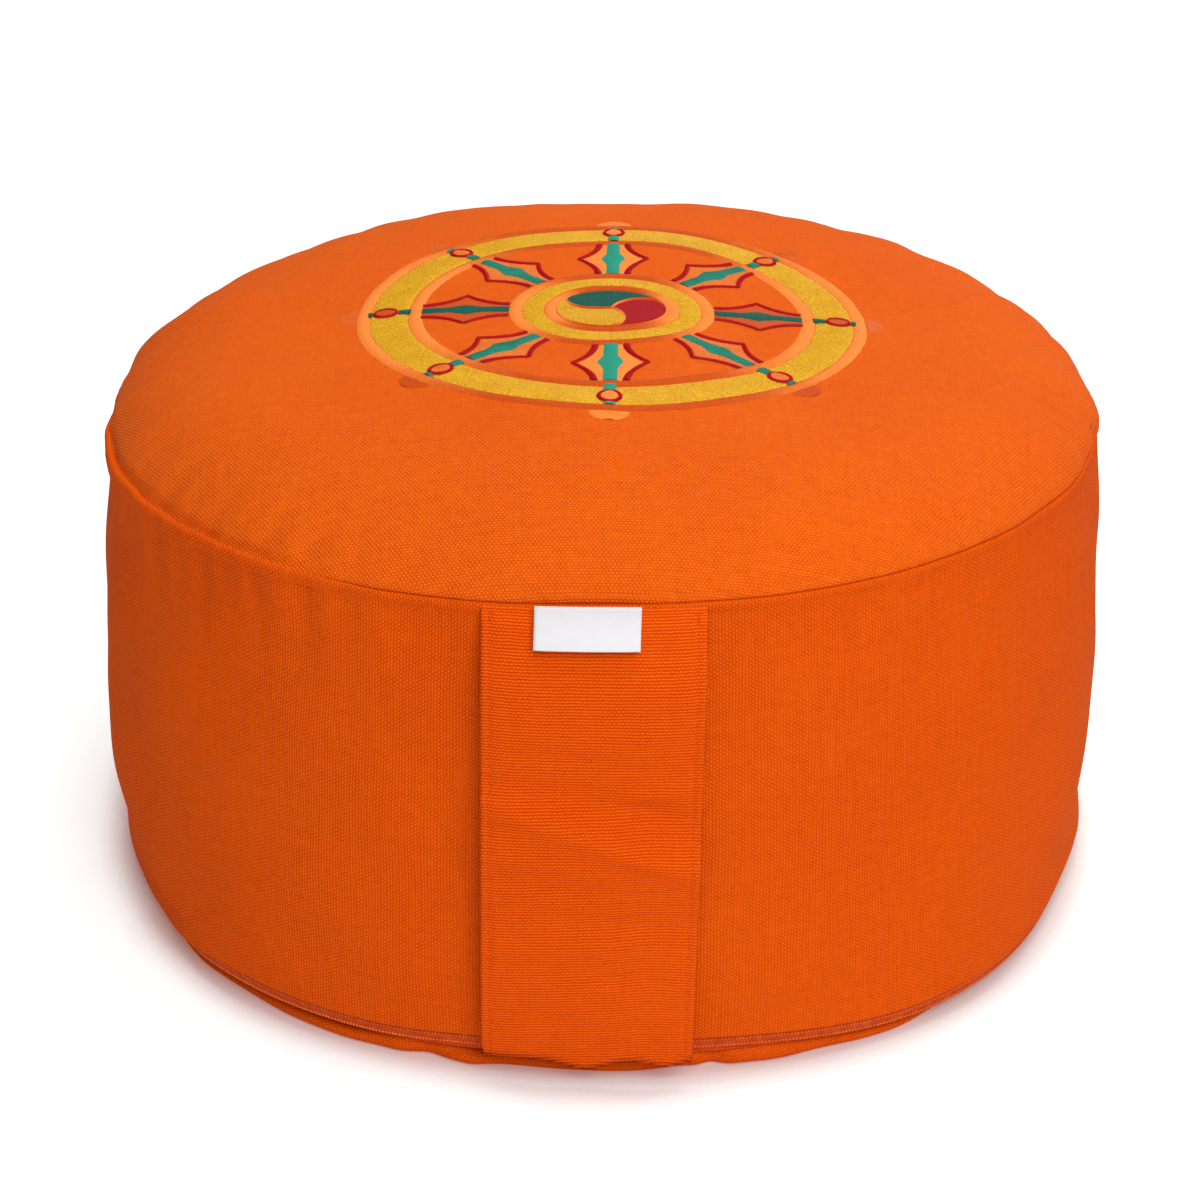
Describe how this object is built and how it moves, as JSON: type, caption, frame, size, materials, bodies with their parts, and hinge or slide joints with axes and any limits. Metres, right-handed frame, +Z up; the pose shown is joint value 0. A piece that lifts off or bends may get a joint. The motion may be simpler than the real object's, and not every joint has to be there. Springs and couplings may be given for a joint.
{
  "type": "zafu meditation cushion",
  "caption": "Round filled floor cushion with a crowned top, upright side band, carrying handle, sewn-in label and a zip along the bottom seam.",
  "frame": {"origin": "on the floor, under the middle of the round top seam", "axes": "+Z up from the floor through the middle of the top, -Y towards the handle, +X to the right as seen from the handle"},
  "size_m": [0.3439, 0.3546, 0.1835],
  "materials": {
    "canvas": "plain woven cotton canvas, matte",
    "handle_canvas": "doubled cotton canvas, matte",
    "satin": "woven satin, soft sheen",
    "tape": "woven tape, matte",
    "coil": "moulded coil, satin",
    "thread": "embroidery thread, glossy satin stitch"
  },
  "bodies": {
    "root": {"cushion": "canvas", "handle": "handle_canvas", "label": "satin", "zip_tape": "tape", "zip_teeth": "coil"}
  },
  "joints": []
}
